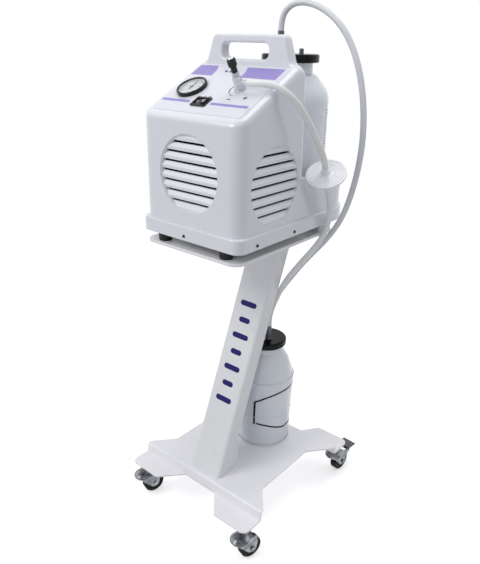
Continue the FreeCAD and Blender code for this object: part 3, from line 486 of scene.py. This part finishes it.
def lathe(centre, profile, steps, axis=Vector((0, 0, 1)), side=Vector((1, 0, 0))):
    """Closed ring of revolution; profile is a closed loop of (radius, height) in millimetres."""
    other = axis.cross(side)
    vertices, faces = [], []
    count = len(profile)
    for i in range(steps):
        angle = 2 * math.pi * i / steps
        outward = side * math.cos(angle) + other * math.sin(angle)
        vertices += [centre + outward * r * MM + axis * h * MM for r, h in profile]
    for i in range(steps):
        for j in range(count):
            a, b = i * count + j, i * count + (j + 1) % count
            c, d = ((i + 1) % steps) * count + j, ((i + 1) % steps) * count + (j + 1) % count
            faces.append((a, c, d, b))
    return vertices, faces


# ---------- printed marks and small pieces ----------

def flat(value):
    """A side curve that stays at one value."""
    return lambda t: value


def slanted(low, high, swell):
    """A side curve from low to high that swells in the middle."""
    return lambda t: low + (high - low) * t + swell * math.sin(math.pi * t)


def add_panel_bands():
    """Violet bands on the panel: two broad ones at its top and two narrow ones beside the switch."""
    left_edge = -106.5
    broad = (131, 165.5)
    narrow = (41, 48)
    bands = [panel_patch(flat(left_edge), slanted(-53, -61, 3), *broad),
             panel_patch(slanted(17, 11, 3), flat(98), *broad),
             panel_patch(flat(left_edge), flat(-35), *narrow),
             panel_patch(flat(16), flat(100), *narrow)]
    add_piece("panel_bands", joined(bands), VIOLET)


def add_panel_marks():
    """Navy marks: arcs, plus and minus round the regulator, bar and ring over the switch, three dots."""
    knob_x = REGULATOR_AT[0]
    switch_x = SWITCH_AT[0]
    arcs = [panel_arc(REGULATOR_AT, 20.5, 22.5, 150, 215), panel_arc(REGULATOR_AT, 20.5, 21.6, 225, 262)]
    plus = [panel_patch(flat(knob_x + 24), flat(knob_x + 33), 69, 71),
            panel_patch(flat(knob_x + 27.5), flat(knob_x + 29.5), 65.5, 74.5)]
    minus = [panel_patch(flat(knob_x - 8), flat(knob_x + 1), 61, 63)]
    bar_and_ring = [panel_patch(flat(switch_x - 5), flat(switch_x - 3.6), 61, 66.5),
                    panel_arc((switch_x + 7, 63.8), 1.7, 2.9, 0, 360)]
    dots = [panel_arc((dot, 148), 0, 3.2, 0, 360) for dot in (-28, -17, -6)]
    add_piece("panel_marks", joined(arcs + plus + minus + bar_and_ring + dots), NAVY)


def lettering(text, height, middle, along, upward):
    """Flat numbers, centred on a place, as vertices and faces; thicknesses in metres."""
    half_thickness, lift = 0.00004, 0.00005
    curve = bpy.data.curves.new("numbers", "FONT")
    curve.body = text
    curve.size = height * MM
    curve.extrude = half_thickness
    curve.resolution_u = 3
    curve.align_x = "CENTER"
    curve.align_y = "CENTER"
    shape = bpy.data.objects.new("numbers", curve)
    mesh = bpy.data.meshes.new_from_object(shape)
    out = along.cross(upward)
    vertices = [middle + along * v.co.x + upward * v.co.y + out * (v.co.z + lift) for v in mesh.vertices]
    faces = [tuple(face.vertices) for face in mesh.polygons]
    bpy.data.objects.remove(shape)
    bpy.data.meshes.remove(mesh)
    bpy.data.curves.remove(curve)
    return vertices, faces


def dial_arc(r0, r1, start, end, steps=48):
    """Arc band printed on the gauge's dial."""
    return panel_arc(GAUGE_AT, r0, r1, start, end, DIAL_PRINT_TOP, DIAL_PRINT_BOTTOM, steps)


def add_gauge_face():
    """Scale of the gauge: an arc, ticks and numbers from 0 to 100, running clockwise over three quarters."""
    first, sweep = 225, 270
    arc_inner, arc_outer = 20.6, 21.3
    tick_count, ticks_per_number = 50, 10
    number_radius, number_height, number_out = 16.6, 5.2, 2.84
    marks = [dial_arc(arc_inner, arc_outer, first - sweep, first)]
    for i in range(tick_count + 1):
        angle = first - sweep * i / tick_count
        end, half_width = (24.6, 1.1) if i % ticks_per_number == 0 else (23.2, 0.5)
        marks.append(dial_arc(arc_outer, end, angle - half_width, angle + half_width, 2))
    add_piece("gauge_scale", joined(marks), BLACK_INK)
    numbers = []
    for i in range(6):
        angle = math.radians(first - sweep * i / 5)
        middle = on_panel(GAUGE_AT[0] + number_radius * math.cos(angle),
                          GAUGE_AT[1] + number_radius * math.sin(angle), number_out)
        numbers.append(lettering(str(20 * i), number_height, middle, ACROSS, UPHILL))
    add_piece("gauge_numbers", joined(numbers), BLACK_INK)


def add_rocker_marks():
    """The usual bar and ring of a rocker switch."""
    x, y = SWITCH_AT
    bar = panel_patch(flat(x - 8.2), flat(x - 7.2), y - 3, y + 3, top=2.2, bottom=1.2, columns=2)
    ring = panel_arc((x + 7.5, y), 2.2, 3.2, 0, 360, top=4.5, bottom=3.2)
    add_piece("rocker_marks", joined([bar, ring]), WHITE_INK, "rocker")


def add_regulator_trim():
    """Black sleeve on the stem and a bright cap on the knob; both turn with the knob."""
    centre = on_panel(*REGULATOR_AT, 0)
    sleeve = lathe(centre, [(4.1, 34.4), (5, 34.4), (5.4, 35), (5.4, 43), (5, 44.7), (4.1, 44.7)],
                   48, NORMAL, ACROSS)
    add_piece("regulator_sleeve", sleeve, MATERIALS["black_plastic"], "knob", True)
    cap = lathe(centre, [(0.4, 58.8), (4.4, 58.8), (4.8, 59.3), (4.4, 60.2), (2.4, 60.8), (0.4, 61)],
                48, NORMAL, ACROSS)
    add_piece("regulator_cap", cap, BRIGHT_METAL, "knob", True)


# ---------- column, jars ----------

def on_column(across, height, out):
    """Millimetres across, height up the column's front face, and out of it."""
    foot = home(across, 0, BASE_TOP / MM)
    return foot + COLUMN_UPHILL * height * MM + COLUMN_NORMAL * out * MM


def column_bar(height, half_length, half_width, steps=10):
    """Rounded bar lying across the column's front."""
    grids = []
    for out in (0.3, 0.05):
        low, high = [], []
        for side in (-1, 1):
            for i in range(steps + 1):
                angle = math.pi / 2 * (i if side > 0 else steps - i) / steps
                reach = side * (half_length - half_width + half_width * math.sin(angle))
                spread = half_width * math.cos(angle)
                low.append(on_column(reach, height - spread, out))
                high.append(on_column(reach, height + spread, out))
        grids.append([low, high])
    return sheet_solid(*grids)


def add_column_marks():
    """Plain navy bars up the column, long and short in turn."""
    lowest, spacing, half_width = 176, 37, 6
    bars = [column_bar(lowest + spacing * i, 15 if i % 2 else 22, half_width) for i in range(7)]
    add_piece("column_marks", joined(bars), NAVY)


def lower_wall_radius(z):
    """Outer radius of the lower jar's wall at a height."""
    (r0, z0), (r1, z1) = LOWER_WALL
    return r0 + (r1 - r0) * (z - z0) / (z1 - z0)


def wall_point(centre, radius, angle, z):
    """Place on a jar's wall; angle in degrees from +X."""
    turn = math.radians(angle)
    return home(centre[0] + radius * math.cos(turn), centre[1] + radius * math.sin(turn), z)


def lower_wall_point(angle, z, out):
    """Place on the lower jar's wall, or out from it."""
    return wall_point(LOWER_JAR_AT, lower_wall_radius(z) + out, angle, z)


def smooth_path(points, steps=8):
    """Points of a smooth line through given ones."""
    ends = [points[0]] + list(points) + [points[-1]]
    path = []
    for a, b, c, d in zip(ends, ends[1:], ends[2:], ends[3:]):
        for i in range(steps):
            t = i / steps
            path.append(tuple(0.5 * (2 * q + (r - p) * t + (2 * p - 5 * q + 4 * r - s) * t * t
                                     + (3 * q - p - 3 * r + s) * t ** 3) for p, q, r, s in zip(a, b, c, d)))
    return path + [tuple(points[-1])]


def wall_stroke(points, width):
    """Inked line of a width on the lower jar's wall, through (angle, height) points."""
    degrees = 180 / math.pi / LOWER_WALL[1][0]
    path = smooth_path(points)
    grids = []
    for out in (0.3, -0.3):
        low, high = [], []
        for i, (angle, z) in enumerate(path):
            before, after = path[max(i - 1, 0)], path[min(i + 1, len(path) - 1)]
            run = (after[0] - before[0]) / degrees
            rise = after[1] - before[1]
            length = math.hypot(run, rise)
            shift_angle = -rise / length * width / 2 * degrees
            shift_z = run / length * width / 2
            low.append(lower_wall_point(angle - shift_angle, z - shift_z, out))
            high.append(lower_wall_point(angle + shift_angle, z + shift_z, out))
        grids.append([low, high])
    return sheet_solid(*grids)


def add_label_outline():
    """Black outline of a label on the lower jar, a thick upright side and two thinner curved ones."""
    top = [(-71, 213), (-52, 225), (-35, 233), (-18, 238), (4, 241), (28, 243), (50, 238)]
    side = [(-72, 150), (-72, 182), (-71, 213)]
    bottom = [(-67, 153), (-45, 148), (-20, 139), (-6, 135), (8, 136), (24, 134), (44, 131)]
    strokes = [wall_stroke(top, 4), wall_stroke(side, 5), wall_stroke(bottom, 4)]
    add_piece("lower_jar_label", joined(strokes), BLACK_INK)


def wall_ring(centre, radius, z):
    """Low moulded line round a jar's wall."""
    profile = [(radius - 1, -1.2), (radius + 0.5, -0.5), (radius + 0.5, 0.5), (radius - 1, 1.2)]
    return lathe(home(*centre, z), profile, 128)


def add_jar_lines():
    """Moulded lines round both jars."""
    lower = [wall_ring(LOWER_JAR_AT, lower_wall_radius(z), z) for z in LOWER_LINES]
    add_piece("lower_jar_lines", joined(lower), MATERIALS["jar_clear"], smooth=True)
    upper = [wall_ring(UPPER_JAR_AT, UPPER_WALL_RADIUS, z) for z in UPPER_LINES]
    add_piece("upper_jar_lines", joined(upper), MATERIALS["jar_clear"], smooth=True)


def add_jar_scale():
    """Printed column of volume ticks on the right of the upper jar; every fifth is longer."""
    tick_count, lowest, spacing, half_height = 18, 775, 5.6, 0.8
    start_angle, proud = 14, 0.3
    ticks = []
    for i in range(tick_count):
        middle = lowest + spacing * i
        width = 9 if i % 5 == 0 else 5
        grids = []
        for out in (proud, -proud):
            grid = []
            for z in (middle - half_height, middle + half_height):
                grid.append([wall_point(UPPER_JAR_AT, UPPER_WALL_RADIUS + out, start_angle + width * j / 3, z)
                             for j in range(4)])
            grids.append(grid)
        ticks.append(sheet_solid(*grids))
    add_piece("upper_jar_scale", joined(ticks), GREY_INK)


def add_louvre_shade_discs():
    """Black disc behind each louvre, close to its back: painted shade that darkens the gaps between the slats."""
    depth, inner, radius, thickness = 12.5, 0.5, 69, 2
    for name, side in (("louvre_front", Vector((0, -1, 0))), ("louvre_right", Vector((1, 0, 0))),
                       ("louvre_left", Vector((-1, 0, 0)))):
        low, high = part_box(name)
        middle = (low + high) / 2
        back = middle - side * depth * MM
        profile = [(inner, 0), (radius, 0), (radius, thickness), (inner, thickness)]
        disc = lathe(back, profile, 64, side, Vector((0, 0, 1)))
        add_piece(name + "_shade_disc", disc, PAINTED_SHADE_BLACK)


def add_boss_ring():
    """Pinkish rubber ring round the boss on the lower jar's cap."""
    centre = home(LOWER_JAR_AT[0] + 3, LOWER_JAR_AT[1] - 25, 0)
    ring = lathe(centre, [(9, 357), (11.7, 357.4), (12.1, 359.5), (11.7, 361.8), (9, 362.2)], 64)
    add_piece("boss_ring", ring, PINK_RUBBER, smooth=True)


# ---------- floor and light, in metres ----------

def add_area(name, place, size, power):
    """Round soft light aimed at the object's middle."""
    aim = Vector((0, 0, 0.6))
    data = bpy.data.lights.new(name, "AREA")
    data.shape = "DISK"
    data.size = size
    data.energy = power
    light = bpy.data.objects.new(name, data)
    light.location = place
    light.rotation_euler = (aim - Vector(place)).to_track_quat("-Z", "Y").to_euler()
    bpy.context.scene.collection.objects.link(light)


def stage_mesh(name, vertices, faces, material):
    """Floor or backdrop: seen by the camera and in reflections, but left out of the diffuse light."""
    mesh = bpy.data.meshes.new(name)
    mesh.from_pydata(vertices, [], faces)
    mesh.materials.append(material)
    piece = bpy.data.objects.new(name, mesh)
    bpy.context.scene.collection.objects.link(piece)
    piece.visible_diffuse = False


def add_stage():
    """Pale floor that catches shadows, a white wall all round, an even sky and two soft lights."""
    reach = 30
    wall_radius = reach * 0.95
    paint = Look("floor_paint", Emission_Color=(1, 1, 1, 1), Emission_Strength=0.5)
    paint.colour(tinted(paint, (0.88, 0.88, 0.885), 0.01, 3))
    paint.rough(0.75, 0.85, 5)
    paint.bump(paint.noise(300), 0.00002)
    corners = [(-reach, -reach, 0), (reach, -reach, 0), (reach, reach, 0), (-reach, reach, 0)]
    stage_mesh("floor", corners, [(0, 1, 2, 3)], paint.material)
    glow = Look("backdrop_paint", Emission_Color=(1, 1, 1, 1), Emission_Strength=1.0, Base_Color=(0, 0, 0, 1),
                Roughness=1.0)
    sides = 24
    angles = [2 * math.pi * i / sides for i in range(sides)]
    ring = [(wall_radius * math.cos(angle), wall_radius * math.sin(angle)) for angle in angles]
    wall = [(x, y, z) for z in (-0.5, reach) for x, y in ring]
    faces = [(i, (i + 1) % sides, sides + (i + 1) % sides, sides + i) for i in range(sides)]
    stage_mesh("backdrop", wall, faces, glow.material)
    world = bpy.data.worlds.new("studio")
    world.use_nodes = True
    sky = world.node_tree.nodes["Background"]
    sky.inputs["Color"].default_value = (0.96, 0.97, 1.0, 1)
    sky.inputs["Strength"].default_value = 0.5
    bpy.context.scene.world = world
    add_area("key", (-1.0, -1.9, 2.3), size=1.3, power=26)
    add_area("top", (0.2, 0.3, 2.7), size=1.6, power=18)


add_camera()
dress_nodes()
add_hoses()
add_panel_bands()
add_panel_marks()
add_gauge_face()
add_rocker_marks()
add_regulator_trim()
add_column_marks()
add_label_outline()
add_jar_lines()
add_jar_scale()
add_boss_ring()
add_louvre_shade_discs()
add_stage()
bpy.context.scene.view_settings.view_transform = "Standard"
